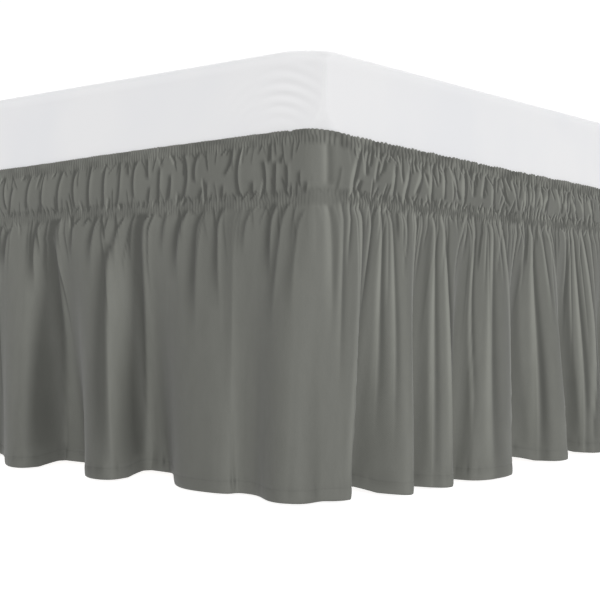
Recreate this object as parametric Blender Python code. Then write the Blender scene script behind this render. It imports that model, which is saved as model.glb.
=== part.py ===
"""A gathered bed skirt that wraps round a single bed's mattress, with the plain base under it.

The skirt is one long strip of soft cloth drawn up to about half its length. Two shirred rows
in its heading grip the sides of the mattress, with a puffed strip between them, and the drop
hangs from the lower row in deep uneven folds to a hem just clear of the floor.

Metres, +Z up. The origin is on the floor under the middle of the bed, the foot end faces -Y.
Distances along the cloth run round the bed anticlockwise from the foot's right corner: up the
right side, across the head, down the left side and back across the foot. Below zero they
count back from that corner across the foot.
"""

import math

import bmesh
import bpy
import numpy as np

# The bed: a single mattress on a plain deck and six legs.
BED_WIDTH = 0.990
BED_LENGTH = 1.905
MATTRESS_TOP = 0.505
MATTRESS_DEPTH = 0.197
MATTRESS_CORNER = 0.040
MATTRESS_EDGE = 0.014
DECK_INSET = 0.035
DECK_DEPTH = 0.030
DECK_EDGE = 0.004
LEG_SIDE = 0.045
LEG_INSET = 0.115
LEG_EDGE = 0.003
SEAT = 0.0003

# The skirt's heights. Its top row dips between the corners, where the elastic rides up, and
# the rows lower down keep this share of the dip.
SKIRT_TOP = 0.4156
LOWER_DIP = 0.2
TOP_BAND = 0.0145
PUFF = 0.0530
LOWER_BAND = 0.0255
DROP_GAP = 0.0006
HEM_HEIGHT = 0.005
HEM_LIFT = 0.005
SIDE_DIP = 0.0145
END_DIP = 0.005

# The cloth and how it stands off the mattress.
CLOTH = 0.0024
CLOTH_CORNER = 0.030
BAND_OFF = 0.0004 + CLOTH / 2
PUFF_OFF = 0.011
CREASE_OFF = 0.0035
DROP_OFF = 0.0023 + CLOTH / 2
BAND_RIPPLE = 0.0012

# The gathers of the heading.
GATHER_PITCH = 0.0245
GATHERS_NEAR_CORNER = (
    -0.541, -0.507, -0.477, -0.442, -0.412, -0.383, -0.356, -0.327, -0.302, -0.276,
    -0.254, -0.238, -0.213, -0.195, -0.175, -0.152, -0.124, -0.104, -0.083, -0.071,
    -0.052, -0.034, -0.017, -0.002, 0.011, 0.022, 0.035, 0.048, 0.066, 0.081, 0.107, 0.121, 0.139,
    0.151, 0.169, 0.191, 0.211, 0.225, 0.243, 0.255, 0.272, 0.292, 0.315,
)  # fmt: skip
GATHERS_AT_CORNERS = (-0.051, -0.033, -0.015, 0.002, 0.018, 0.034, 0.052)

# The main folds of the drop round the foot's right corner. Each row is one turn of the cloth,
# inwards and outwards by turns: where it leaves the lower band, where it reaches the hem, how
# far it stands out there, and how broad it is.
TURNS_NEAR_CORNER = (
    # at_band, at_hem, out, breadth
    (-0.610, -0.610, -0.030, 1.9),
    (-0.505, -0.500, 0.026, 2.0),
    (-0.460, -0.452, -0.050, 1.6),
    (-0.365, -0.326, 0.036, 2.0),
    (-0.286, -0.292, -0.045, 1.7),
    (-0.185, -0.165, 0.022, 2.2),
    (-0.100, -0.106, 0.002, 1.4),
    (-0.045, -0.036, 0.030, 1.6),
    (0.000, 0.000, -0.001, 1.2),
    (0.050, 0.031, 0.006, 0.9),
    (0.085, 0.078, -0.036, 1.4),
    (0.150, 0.103, 0.040, 1.6),
    (0.185, 0.142, -0.008, 1.5),
    (0.250, 0.178, 0.046, 1.8),
    (0.290, 0.226, 0.004, 1.5),
    (0.370, 0.292, 0.052, 2.4),
    (0.440, 0.428, -0.034, 1.7),
    (0.500, 0.496, 0.034, 1.8),
    (0.560, 0.570, -0.022, 1.7),
    (0.625, 0.616, 0.034, 1.8),
)
FOLD_PITCH = 0.134
FOLD_OUT = (0.028, 0.052)
FOLD_IN = (-0.050, -0.018)
FOLD_BREADTH = (1.6, 2.3)
CORNER_OUT = 0.034
SAMPLES_PER_TURN = 4
DROP_ROWS = (0.0, 0.09, 0.26, 0.50, 0.76, 1.0)
SWELL = 0.35

# The smaller gathers that run down from the lower band and die out.
GATHER_DEPTH = 0.0042
GATHER_REACH = 0.55
SEED = 7

SKIRT_GREY = (0.155, 0.158, 0.140, 1.0)
MATTRESS_WHITE = (0.80, 0.80, 0.81, 1.0)
BASE_WOOD = (0.52, 0.40, 0.28, 1.0)


def clear_scene():
    for obj in list(bpy.data.objects):
        bpy.data.objects.remove(obj, do_unlink=True)


def new_material(name, colour, roughness):
    material = bpy.data.materials.new(name)
    material.use_nodes = True
    shader = material.node_tree.nodes["Principled BSDF"]
    shader.inputs["Base Color"].default_value = colour
    shader.inputs["Roughness"].default_value = roughness
    shader.inputs["Metallic"].default_value = 0.0
    return material


def new_object(name, mesh, material):
    mesh.materials.append(material)
    obj = bpy.data.objects.new(name, mesh)
    bpy.context.scene.collection.objects.link(obj)
    return obj


# ---------------------------------------------------------------- the line round the bed


def wall_knots():
    """Distances at which the line round the bed passes from a straight side to a corner."""
    turn = math.pi / 2 * CLOTH_CORNER
    side = BED_LENGTH + 2 * BAND_OFF - 2 * CLOTH_CORNER
    end = BED_WIDTH + 2 * BAND_OFF - 2 * CLOTH_CORNER
    steps = [0, turn / 2, side, turn, end, turn, side, turn, end, turn / 2]
    return np.cumsum(steps)


KNOTS = wall_knots()
PERIMETER = float(KNOTS[-1])


def wall_point(along, out):
    """The point at a distance along the line round the bed, and a distance out from it."""
    across = BED_WIDTH / 2 + BAND_OFF - CLOTH_CORNER
    down = BED_LENGTH / 2 + BAND_OFF - CLOTH_CORNER
    along = np.mod(along, PERIMETER)
    core_x = np.interp(along, KNOTS, np.array([1, 1, 1, 1, -1, -1, -1, -1, 1, 1]) * across)
    core_y = np.interp(along, KNOTS, np.array([-1, -1, 1, 1, 1, 1, -1, -1, -1, -1]) * down)
    facing = np.interp(along, KNOTS, np.radians([-45, 0, 0, 90, 90, 180, 180, 270, 270, 315]))
    reach = CLOTH_CORNER + out
    return core_x + reach * np.cos(facing), core_y + reach * np.sin(facing)


def dip(along):
    """How far a row of the heading hangs below its corners: half a sine wave on each side."""
    along = np.mod(along, PERIMETER)
    corners = [0, *other_corners(), PERIMETER]
    depth = np.zeros_like(along)
    for start, end, most in zip(corners, corners[1:], (SIDE_DIP, END_DIP, SIDE_DIP, END_DIP)):
        share = np.clip((along - start) / (end - start), 0, 1)
        depth += most * np.sin(np.pi * share)
    return depth


# ---------------------------------------------------------------- a thick ring of cloth


def plan_sides(x, y):
    """The outer and inner line of a strip of cloth whose middle runs through x, y in plan."""
    ahead_x, ahead_y = np.roll(x, -1) - np.roll(x, 1), np.roll(y, -1) - np.roll(y, 1)
    length = np.hypot(ahead_x, ahead_y)
    half_x, half_y = CLOTH / 2 * ahead_y / length, -CLOTH / 2 * ahead_x / length
    return (x + half_x, y + half_y), (x - half_x, y - half_y)


def zip_rows(upper, lower):
    """Triangles between two closed rows of points, which may differ in number."""
    faces, i, j = [], 0, 0
    while i < len(upper) or j < len(lower):
        a, b = upper[i % len(upper)], lower[j % len(lower)]
        if j >= len(lower) or (i < len(upper) and (i + 1) * len(lower) <= (j + 1) * len(upper)):
            faces.append((a, b, upper[(i + 1) % len(upper)]))
            i += 1
        else:
            faces.append((a, b, lower[(j + 1) % len(lower)]))
            j += 1
    return faces


def cloth_ring(name, rows, material):
    """A closed ring of cloth. Each row gives the plan line of the cloth's middle and its height."""
    points, outer, inner = [], [], []
    for x, y, z in rows:
        for side, line in zip((outer, inner), plan_sides(x, y)):
            side.append(range(len(points), len(points) + len(x)))
            points.extend(zip(*line, z))
    faces = []
    for side in (outer, inner):
        for upper, lower in zip(side, side[1:]):
            faces += zip_rows(upper, lower)
    faces += zip_rows(outer[0], inner[0])
    faces += zip_rows(outer[-1], inner[-1])
    shape = bmesh.new()
    corners = [shape.verts.new(point) for point in points]
    for face in faces:
        shape.faces.new([corners[i] for i in face])
    bmesh.ops.recalc_face_normals(shape, faces=shape.faces)
    mesh = bpy.data.meshes.new(name)
    shape.to_mesh(mesh)
    shape.free()
    mesh.shade_smooth()
    return new_object(name, mesh, material)


# ---------------------------------------------------------------- the heading


def other_corners():
    """Distances of the middles of the three corners after the foot's right one."""
    return KNOTS[[2, 4, 6]] + KNOTS[1]


def gather_creases():
    """Where the heading's creases fall: by hand near the corners, and unevenly between them."""
    draw = np.random.default_rng(SEED)
    placed = [np.array(GATHERS_NEAR_CORNER)]
    placed += [corner + np.array(GATHERS_AT_CORNERS) for corner in other_corners()]
    placed.append(placed[0][:1] + PERIMETER)
    creases = []
    for these, after in zip(placed, placed[1:]):
        room = after[0] - these[-1]
        steps = draw.uniform(0.65, 1.35, round(room / GATHER_PITCH))
        creases += [these, these[-1] + np.cumsum(steps)[:-1] * room / steps.sum()]
    return np.concatenate(creases)


def heading_rows():
    """Five rows: the top edge, the foot of the top band, the puffs, the lower band's two edges."""
    draw = np.random.default_rng(SEED + 1)
    creases = gather_creases()
    count = len(creases)
    span = np.append(creases, creases[0] + PERIMETER)
    middles = span[:-1] + np.diff(span) * draw.uniform(0.40, 0.60, count)
    puffs = np.column_stack([creases + draw.uniform(-0.003, 0.003, count), middles]).ravel()
    fullness = np.clip(np.diff(span) / GATHER_PITCH, 0.6, 1.25)
    off = np.column_stack([np.full(count, CREASE_OFF), PUFF_OFF * fullness]).ravel()
    ripple = BAND_RIPPLE * draw.uniform(0, 1, (4, count))
    foot_of_top = SKIRT_TOP - TOP_BAND
    middle_of_puff = foot_of_top - PUFF / 2
    top_of_lower = foot_of_top - PUFF
    foot_of_lower = top_of_lower - LOWER_BAND
    plan = (
        (middles, ripple[0], SKIRT_TOP, 1.0),
        (creases, ripple[1], foot_of_top, 1.0),
        (puffs, off, middle_of_puff, (1.0 + LOWER_DIP) / 2),
        (creases, ripple[2], top_of_lower, LOWER_DIP),
        (middles, ripple[3], foot_of_lower, LOWER_DIP),
    )
    rows = []
    for along, out, height, share in plan:
        rows.append((*wall_point(along, out), height - share * dip(along)))
    return rows


# ---------------------------------------------------------------- the drop


def drop_turns():
    """Every turn of the drop's folds: the corner's own, then the rest with a fold at each corner."""
    draw = np.random.default_rng(SEED + 2)
    turns = list(TURNS_NEAR_CORNER)
    corners = list(other_corners())
    stops = [turns[-1][0], *corners, PERIMETER + turns[0][0] - FOLD_PITCH / 2]
    for start, end in zip(stops, stops[1:]):
        folds = round((end - start) / FOLD_PITCH)
        pitch = (end - start) / folds
        for fold in range(folds):
            inward = start + (fold + 0.5 + draw.uniform(-0.12, 0.12)) * pitch
            outward = start + (fold + 1 + draw.uniform(-0.12, 0.12)) * pitch
            beside = fold == 0 and start in corners or fold == folds - 1 and end in corners
            depth = draw.uniform(*FOLD_IN) * (0.5 if beside else 1.0)
            turns.append((inward, inward, depth, draw.uniform(*FOLD_BREADTH)))
            if fold < folds - 1 or end == stops[-1]:
                out = draw.uniform(*FOLD_OUT)
            else:
                outward, out = end, CORNER_OUT
            turns.append((outward, outward, out, draw.uniform(*FOLD_BREADTH)))
    return np.array(turns)


def fold_lines(turns, samples):
    """The folds at the band and at the hem, as arrays of points round the bed.

    Between one turn and the next the hem follows a Hermite curve whose ends lie along the
    wall. Its pull is the turn's breadth times the room it has, so a broad turn bulges over its
    own flanks as gathered cloth does.
    """
    at_band, at_hem, out, breadth = turns.T
    after_band = np.append(at_band[1:], at_band[0] + PERIMETER)
    after_hem = np.append(at_hem[1:], at_hem[0] + PERIMETER)
    step = after_hem - at_hem
    pull = breadth * (step + np.roll(step, 1)) / 2
    t = (np.arange(samples) / samples)[:, None]
    start, start_pull = 2 * t**3 - 3 * t**2 + 1, t**3 - 2 * t**2 + t
    end, end_pull = 3 * t**2 - 2 * t**3, t**3 - t**2
    hem = start * at_hem + start_pull * pull + end * after_hem + end_pull * np.roll(pull, -1)
    stands = start * out + end * np.roll(out, -1)
    band = at_band + t * (after_band - at_band)
    return band.T.ravel(), hem.T.ravel(), stands.T.ravel()


def small_gathers(count):
    """Small ripples of the cloth where it leaves the band, one value for each column."""
    draw = np.random.default_rng(SEED + 3)
    by_turns = np.where(np.arange(count) % 2, 1.0, -1.0)
    return GATHER_DEPTH * by_turns * draw.uniform(0.3, 1.0, count)


def drop_rows():
    """The drop from the lower band to the hem. The folds swell as they fall."""
    band, hem, stands = fold_lines(drop_turns(), SAMPLES_PER_TURN)
    gathers = small_gathers(len(band))
    top = SKIRT_TOP - TOP_BAND - PUFF - LOWER_BAND - DROP_GAP
    rows = []
    for share in DROP_ROWS:
        grown = share * (1 + SWELL * (1 - share))
        fading = np.clip(share / 0.1, 0.15, 1) * max(0.0, 1 - share / GATHER_REACH)
        along = band + grown * (hem - band)
        out = DROP_OFF - BAND_OFF + grown * (stands - DROP_OFF) + fading * gathers
        least = np.where(share < 0.1, DROP_OFF - BAND_OFF, -1.0)
        x, y = wall_point(along, np.maximum(out, least))
        height = top - LOWER_DIP * dip(along)
        hem_at = HEM_HEIGHT + HEM_LIFT * np.clip(-stands / 0.03, 0, 1)
        rows.append((x, y, height + share * (hem_at - height)))
    return rows


# ---------------------------------------------------------------- the bed


def rounded_block(name, low, high, corner, edge, material):
    """A block with rounded upright corners and softer rounded edges above and below."""
    shape = bmesh.new()
    bmesh.ops.create_cube(shape, size=1.0)
    for vert in shape.verts:
        vert.co = [b if c > 0 else a for a, b, c in zip(low, high, vert.co)]
    if corner > edge:
        upright = [e for e in shape.edges if abs(e.verts[0].co.z - e.verts[1].co.z) > 1e-6]
        bmesh.ops.bevel(shape, geom=upright, offset=corner, segments=8, affect="EDGES", profile=0.5)
    mesh = bpy.data.meshes.new(name)
    shape.to_mesh(mesh)
    shape.free()
    block = new_object(name, mesh, material)
    soften = block.modifiers.new("Soft edges", "BEVEL")
    soften.width = edge
    soften.segments = 3
    soften.limit_method = "ANGLE"
    soften.angle_limit = math.radians(40)
    mesh.shade_smooth()
    mesh.set_sharp_from_angle(angle=math.radians(50))
    return block


def build_bed():
    white = new_material("mattress_cover", MATTRESS_WHITE, 0.85)
    wood = new_material("base_wood", BASE_WOOD, 0.6)
    half = np.array([BED_WIDTH / 2, BED_LENGTH / 2])
    under = MATTRESS_TOP - MATTRESS_DEPTH
    rounded_block(
        "mattress", (*-half, under), (*half, MATTRESS_TOP), MATTRESS_CORNER, MATTRESS_EDGE, white
    )
    deck = half - DECK_INSET
    deck_top = under - SEAT
    deck_foot = deck_top - DECK_DEPTH
    rounded_block("base_deck", (*-deck, deck_foot), (*deck, deck_top), 0, DECK_EDGE, wood)
    reach = half - LEG_INSET
    places = [(x, y) for y in (-1, 0, 1) for x in (-1, 1)]
    for number, (x, y) in enumerate(places, 1):
        centre = reach * (x, y)
        low = (*(centre - LEG_SIDE / 2), 0.0)
        high = (*(centre + LEG_SIDE / 2), deck_foot - SEAT)
        rounded_block(f"leg_{number}", low, high, 0, LEG_EDGE, wood)


def build_skirt():
    grey = new_material("skirt_cloth", SKIRT_GREY, 0.8)
    cloth_ring("heading", heading_rows(), grey)
    cloth_ring("drop", drop_rows(), grey)


clear_scene()
build_bed()
build_skirt()
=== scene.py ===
import math

import bpy
import numpy as np
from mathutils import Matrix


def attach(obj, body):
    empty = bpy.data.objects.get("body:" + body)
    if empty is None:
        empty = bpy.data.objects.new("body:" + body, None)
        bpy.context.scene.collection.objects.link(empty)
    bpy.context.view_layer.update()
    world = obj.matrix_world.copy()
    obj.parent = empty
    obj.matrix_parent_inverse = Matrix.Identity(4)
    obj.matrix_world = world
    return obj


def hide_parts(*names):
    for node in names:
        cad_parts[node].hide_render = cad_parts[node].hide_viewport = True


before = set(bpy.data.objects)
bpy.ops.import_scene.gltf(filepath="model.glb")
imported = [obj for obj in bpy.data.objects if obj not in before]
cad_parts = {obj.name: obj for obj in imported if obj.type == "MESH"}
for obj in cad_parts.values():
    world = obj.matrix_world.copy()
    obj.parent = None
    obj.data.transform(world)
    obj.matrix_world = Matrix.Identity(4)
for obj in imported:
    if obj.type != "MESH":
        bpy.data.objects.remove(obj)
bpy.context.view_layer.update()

# ---------------------------------------------------------------- bed base
# A plain deck of pale wood on six square legs, made to carry a single mattress. The skirt
# hides all of it, so it keeps its modelled solids and gets a planed, oiled timber finish.


def shader_nodes(name):
    """A new material, its node tree and its Principled shader."""
    material = bpy.data.materials.new(name)
    material.use_nodes = True
    tree = material.node_tree
    return material, tree, tree.nodes["Principled BSDF"]


def feed(node, values):
    """Gives a node's inputs their values. A value that is a socket is linked to the input."""
    for key, value in values.items():
        if isinstance(value, bpy.types.NodeSocket):
            node.id_data.links.new(value, node.inputs[key])
        else:
            node.inputs[key].default_value = value


def add_node(tree, kind, values={}, **settings):
    """A node of this kind, with its plain properties set and its inputs fed."""
    node = tree.nodes.new(kind)
    for key, value in settings.items():
        setattr(node, key, value)
    feed(node, values)
    return node


def colour_ramp(tree, source, *stops):
    """A ramp of (place, colour) stops fed by a value socket; returns its colour socket."""
    ramp = add_node(tree, "ShaderNodeValToRGB", {"Fac": source})
    points = ramp.color_ramp.elements
    while len(points) < len(stops):
        points.new(0.5)
    for point, (place, colour) in zip(points, stops):
        point.position = place
        point.color = (*colour, 1.0)
    return ramp.outputs["Color"]


def low_relief(tree, shader, height, strength, distance):
    """Raises a shader's surface by a height socket."""
    relief = {"Height": height, "Strength": strength, "Distance": distance}
    feed(shader, {"Normal": add_node(tree, "ShaderNodeBump", relief).outputs["Normal"]})


TIMBER_DARK, TIMBER_MID, TIMBER_PALE = (0.36, 0.25, 0.15), (0.52, 0.39, 0.26), (0.60, 0.47, 0.33)


def planed_timber():
    """Planed, oiled timber: noise drawn out along the bed is its grain, as tint and low relief."""
    material, tree, shader = shader_nodes("planed_timber")
    place = add_node(tree, "ShaderNodeTexCoord")
    drawn_out = {"Vector": place.outputs["Object"], "Scale": (18.0, 1.2, 18.0)}
    along = add_node(tree, "ShaderNodeMapping", drawn_out)
    noise = {"Vector": along.outputs["Vector"], "Scale": 6.0, "Detail": 6.0, "Distortion": 0.6}
    grain = add_node(tree, "ShaderNodeTexNoise", noise)
    stops = (0.30, TIMBER_DARK), (0.55, TIMBER_MID), (0.80, TIMBER_PALE)
    tint = colour_ramp(tree, grain.outputs["Fac"], *stops)
    feed(shader, {"Base Color": tint, "Roughness": 0.55})
    low_relief(tree, shader, grain.outputs["Fac"], 0.25, 0.0006)
    return material


timber = planed_timber()
for node_name in ("base_deck", "leg_1", "leg_2", "leg_3", "leg_4", "leg_5", "leg_6"):
    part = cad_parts[node_name]
    part.data.materials.clear()
    part.data.materials.append(timber)

# ---------------------------------------------------------------- mattress
# A plain single foam mattress in a smooth white stretch cover. It is moulded in one block
# with small rounded edges. The cover crowns a little over the foot end, is greyed by painted
# shade down the upright corners, and shows a few pulls near the foot's right corner.

BED_WIDTH = 0.990
BED_LENGTH = 1.905
MATTRESS_TOP = 0.505
MATTRESS_FOOT = 0.308
MATTRESS_EDGE = 0.014
MATTRESS_CROWN = 0.0048
# Rows of the top and the underside, by how far they are inside the plan line, and of the side:
# how many show, how far down, and the heights of those behind the skirt.
TOP_INSETS = (0.30, 0.12, 0.04)
UNDER_INSETS = (0.05, 0.30)
SHOWN_ROWS = 43
SHOWN_FOOT = 0.405
HIDDEN_ROWS = (0.39, 0.36, 0.33)
# Points round a corner, along a side and along an end, which has more for the pulls.
CORNER_POINTS, SIDE_POINTS, END_POINTS = 24, 260, 400
# The pulls: the centre of their rings across and up, their pitch and depth, the middle of the
# patch where they show, and how fast they fade from it.
PULL_CENTRE = (0.425, 0.372)
PULL_PITCH = 0.0128
PULL_DEPTH = 0.0006
PULL_MIDDLE = (0.425, 0.462)
PULL_FADE = (0.044, 0.027)
# The radius of the block's upright corners at some heights: the elastic holds them broad.
CORNER_BY_HEIGHT = (
    # height, radius
    (0.308, 0.040),
    (0.406, 0.040),
    (0.419, 0.027),
    (0.426, 0.018),
    (0.434, 0.011),
    (0.444, 0.007),
    (0.458, 0.005),
    (0.488, 0.004),
    (0.505, 0.020),
)
# How much painted shade greys the cover down each upright corner, at some heights.
CORNER_PAINTED_SHADE = (
    # height, share
    (0.420, 0.23),
    (0.430, 0.45),
    (0.440, 0.64),
    (0.455, 0.70),
    (0.470, 0.78),
    (0.486, 0.84),
    (0.494, 0.60),
    (0.503, 0.30),
    (0.505, 0.0),
)


def placed(name, data):
    """A new object with this data, in the scene."""
    piece = bpy.data.objects.new(name, data)
    bpy.context.scene.collection.objects.link(piece)
    return piece


def mesh_piece(name, points, material, ends=(False, False), cloth=None, nap_and_painted_light=None):
    """A piece whose points lie on a grid of rows and columns that closes round its columns.

    Each quad runs down one row and on one column, so it faces outwards when the columns run
    anticlockwise and the rows downwards. An end that is closed gets one face of all its row.
    cloth gives each column's and each row's place on the flat cloth, in metres, for the weave.
    The last argument gives each point's tone of painted light, from 0 for the deepest painted
    shade, as in a crease, to 1 for the palest, as a painted highlight on a crest.
    """
    rows, columns = points.shape[:2]
    grid = np.arange(rows * columns).reshape(rows, columns)
    after = np.roll(grid, -1, axis=1)
    quads = np.stack([grid[:-1], grid[1:], after[1:], after[:-1]], axis=-1).reshape(-1, 4)
    loops = [quads.ravel()]
    sizes = [np.full(len(quads), 4)]
    for closed, row in zip(ends, (grid[0], grid[-1][::-1])):
        if closed:
            loops.append(row)
            sizes.append(np.array([columns]))
    loops, sizes = np.concatenate(loops), np.concatenate(sizes)
    mesh = bpy.data.meshes.new(name)
    mesh.vertices.add(rows * columns)
    mesh.vertices.foreach_set("co", points.astype(np.float32).ravel())
    mesh.loops.add(len(loops))
    mesh.loops.foreach_set("vertex_index", loops.astype(np.int32))
    mesh.polygons.add(len(sizes))
    mesh.polygons.foreach_set("loop_start", (np.cumsum(sizes) - sizes).astype(np.int32))
    mesh.update(calc_edges=True)
    if cloth is not None:
        across, down = cloth
        last = np.arange(len(quads)) % columns == columns - 1
        turn = np.append(across, across[0] + PERIMETER)
        place = quads % columns
        u = np.where(last[:, None] & (place == 0), turn[-1], turn[place])
        layer = mesh.uv_layers.new(name="cloth")
        on_map = np.stack([u, down[quads // columns]], -1)
        layer.data.foreach_set("uv", on_map.astype(np.float32).ravel())
    if nap_and_painted_light is not None:
        tones = mesh.attributes.new("nap_and_painted_light", "FLOAT", "POINT")
        tones.data.foreach_set("value", nap_and_painted_light.astype(np.float32).ravel())
    mesh.materials.append(material)
    mesh.shade_smooth()
    return placed(name, mesh)


def rounded_plan(half_x, half_y, radius):
    """Points round a rectangle with rounded corners, and their outward directions.

    The eight stretches are a corner, where the direction turns, and a wall by turns. Each point
    is its corner's centre plus the radius times its direction. radius may be a column of
    values, one for each row of points.
    """
    counts = (CORNER_POINTS, SIDE_POINTS, CORNER_POINTS, END_POINTS) * 2
    stretch = np.concatenate([k + np.arange(count) / count for k, count in enumerate(counts)])
    knots = np.arange(9)
    core_x = np.interp(stretch, knots, [1, 1, 1, 1, -1, -1, -1, -1, 1]) * (half_x - radius)
    core_y = np.interp(stretch, knots, [-1, -1, 1, 1, 1, 1, -1, -1, -1]) * (half_y - radius)
    facing = np.interp(stretch, knots, np.radians([-90, 0, 0, 90, 90, 180, 180, 270, 270]))
    return core_x + radius * np.cos(facing), core_y + radius * np.sin(facing), facing


def smooth(low, high, value):
    """0 below low, 1 above high, and an even S curve between them."""
    share = np.clip((value - low) / (high - low), 0, 1)
    return share * share * (3 - 2 * share)


def mattress_points():
    """The mattress's skin: its plan line carried down a profile of crown, edge, side and edge.

    The profile gives, row by row, how far inside the plan line a point lies and its height. The
    upright corners are broad where the elastic holds them and at the crown, and sharp between.
    The crown rises over the top 45 mm, inwards from both long sides and towards the foot. The
    tone is painted shade: it falls by the share at that height times the sine of twice the
    direction, so most half way round a corner.
    """
    turn = np.radians(np.linspace(0, 90, 7))
    edge_in = MATTRESS_EDGE * (1 - np.sin(turn))
    edge_down = MATTRESS_EDGE * (1 - np.cos(turn))
    shown = np.linspace(MATTRESS_TOP - MATTRESS_EDGE, SHOWN_FOOT, SHOWN_ROWS + 1)[1:]
    side = np.concatenate([shown, HIDDEN_ROWS])
    inside = np.concatenate([TOP_INSETS, edge_in, np.zeros(len(side)), edge_in[::-1], UNDER_INSETS])
    above = np.append(np.full(len(TOP_INSETS), MATTRESS_TOP), MATTRESS_TOP - edge_down)
    below = np.append(MATTRESS_FOOT + edge_down[::-1], np.full(len(UNDER_INSETS), MATTRESS_FOOT))
    height = np.concatenate([above, side, below])
    radius = np.interp(height, *zip(*CORNER_BY_HEIGHT))
    x, y, facing = rounded_plan(BED_WIDTH / 2, BED_LENGTH / 2, radius[:, None])
    x = np.sign(x) * np.maximum(np.abs(x) - inside[:, None], 0.0)
    y = np.sign(y) * np.maximum(np.abs(y) - inside[:, None], 0.0)
    z = np.broadcast_to(height[:, None], x.shape)
    pull = cover_pulls(x, y, z) * (inside < 0.001)[:, None]
    # Painted shade: the tone falls most half way round each upright corner.
    nap_and_painted_light = 1 - np.abs(np.sin(2 * facing)) * np.interp(z, *np.transpose(CORNER_PAINTED_SHADE))
    crown = MATTRESS_CROWN * smooth(0.46, MATTRESS_TOP, z)
    crown *= smooth(0.010, 0.065, BED_WIDTH / 2 - np.abs(x))
    crown *= smooth(-0.3, -0.8, y)
    return np.stack([x + pull * np.cos(facing), y + pull * np.sin(facing), z + crown], -1), nap_and_painted_light


def cover_pulls(x, y, z):
    """Faint arcs where the cover pulls: sine rings about a point behind the skirt at the foot.

    They fade out as a bell curve, across and up, from the middle of their patch.
    """
    rings = np.sin(np.hypot(x - PULL_CENTRE[0], z - PULL_CENTRE[1]) * 2 * math.pi / PULL_PITCH)
    across, up = (x - PULL_MIDDLE[0]) / PULL_FADE[0], (z - PULL_MIDDLE[1]) / PULL_FADE[1]
    at_foot = y < -BED_LENGTH / 2 + 0.02
    return PULL_DEPTH * rings * np.exp(-(across**2) - up**2) * at_foot


def tint_by_painted_light(tree, shader, tint, *tones):
    """The base colour: a tint times a grey for each point's tone of painted light, from (tone, grey) stops.
    """
    nap_and_painted_light = add_node(tree, "ShaderNodeAttribute", attribute_name="nap_and_painted_light")
    # A grey of painted light: painted shade where it is under 1, painted highlight over 1.
    painted_grey = colour_ramp(tree, nap_and_painted_light.outputs["Fac"], *((tone, (grey,) * 3) for tone, grey in tones))
    both = {"Factor": 1.0, "A": tint, "B": painted_grey}
    mix = add_node(tree, "ShaderNodeMix", both, data_type="RGBA", blend_type="MULTIPLY")
    feed(shader, {"Base Color": mix.outputs["Result"]})


def stretch_cover():
    """A matt white knit: a slow cloudy tint, greyed by painted shade down the upright corners, over a fine
    low relief.
    """
    material, tree, shader = shader_nodes("stretch_cover")
    place = add_node(tree, "ShaderNodeTexCoord").outputs["Object"]
    cloud = add_node(tree, "ShaderNodeTexNoise", {"Vector": place, "Scale": 7.0, "Detail": 2.0})
    knit = add_node(tree, "ShaderNodeTexNoise", {"Vector": place, "Scale": 900.0, "Detail": 1.0})
    tint = colour_ramp(tree, cloud.outputs["Fac"], (0.35, (0.86, 0.865, 0.885)), (0.65, (0.89, 0.89, 0.90)))
    # Painted shade from the tone: down to 0.74 of the tint on the upright corners.
    tint_by_painted_light(tree, shader, tint, (0.0, 0.74), (1.0, 1.0))
    low_relief(tree, shader, knit.outputs["Fac"], 0.15, 0.0004)
    feed(shader, {"Roughness": 0.85, "Specular IOR Level": 0.25})
    return material


points, nap_and_painted_light = mattress_points()
mattress = mesh_piece("mattress_block", points, stretch_cover(), ends=(True, True), nap_and_painted_light=nap_and_painted_light)
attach(mattress, "root")
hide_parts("mattress")

# ---------------------------------------------------------------- top band
# The skirt's top edge: the cloth is turned over a flat elastic and shirred along it, so it
# grips the mattress in fine upright ribs. Its edge is a row of small beads where the ribs turn.

# Distances along the cloth run round the bed anticlockwise from the foot's right corner, and
# below zero back from it across the foot. The cloth's map begins at MAP_START, the line's
# corners have the radius CLOTH_CORNER, and the line runs LINE_OFF outside the mattress.
MAP_START = -0.62
CLOTH_CORNER = 0.030
LINE_OFF = 0.0016
SKIRT_TOP = 0.4156
# How far the top edge dips on a long side and at an end, and the share of it lower down.
SIDE_DIP = 0.0145
END_DIP = 0.005
LOWER_DIP = 0.2
TOP_BAND = 0.0145
PUFF_DEPTH = 0.0530
LOWER_BAND = 0.0125
# Depths below the top edge from which the drop's own are counted, and at which it takes over.
JOIN = 0.093
DROP_STARTS = 0.086
# The ribs' pitches on the right side, head, left side and foot, and depths on a side and an end.
RIB_PITCHES = (0.0074, 0.0044, 0.0074, 0.0044)
LOWER_RIB_PITCHES = (0.0050, 0.0044, 0.0050, 0.0044)
RIB_DEPTHS = (0.0028, 0.0015)
LOWER_RIB_DEPTHS = (0.0020, 0.0008)
# The depths, on a side and an end, of the top edge's beads and of the puffs' sags, and a notch
# in the top edge: its place, width and depth.
BEADS = (0.0034, 0.0014)
SAGS = (0.0026, 0.0010)
NOTCH_AT, NOTCH_WIDE, NOTCH_DEEP = -0.0425, 0.003, 0.0016
# How far the top edge lies over its even dip near the foot's right corner.
TOP_LIFT = (
    # along, lift
    (-0.700, 0.0),
    (-0.565, -0.0008),
    (-0.330, 0.0033),
    (-0.165, 0.0039),
    (-0.047, 0.0032),
    (-0.022, 0.0030),
    (0.000, 0.0002),
    (0.044, -0.0024),
    (0.120, -0.0016),
    (0.684, -0.0017),
    (0.900, 0.0),
)
PUFF_OUT = 0.0062
# The least that the tone of painted light can be.
DARKEST = 0.12
BAND_COLUMNS = 8000
PUFF_COLUMNS = 6500
SEED = 7

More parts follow.
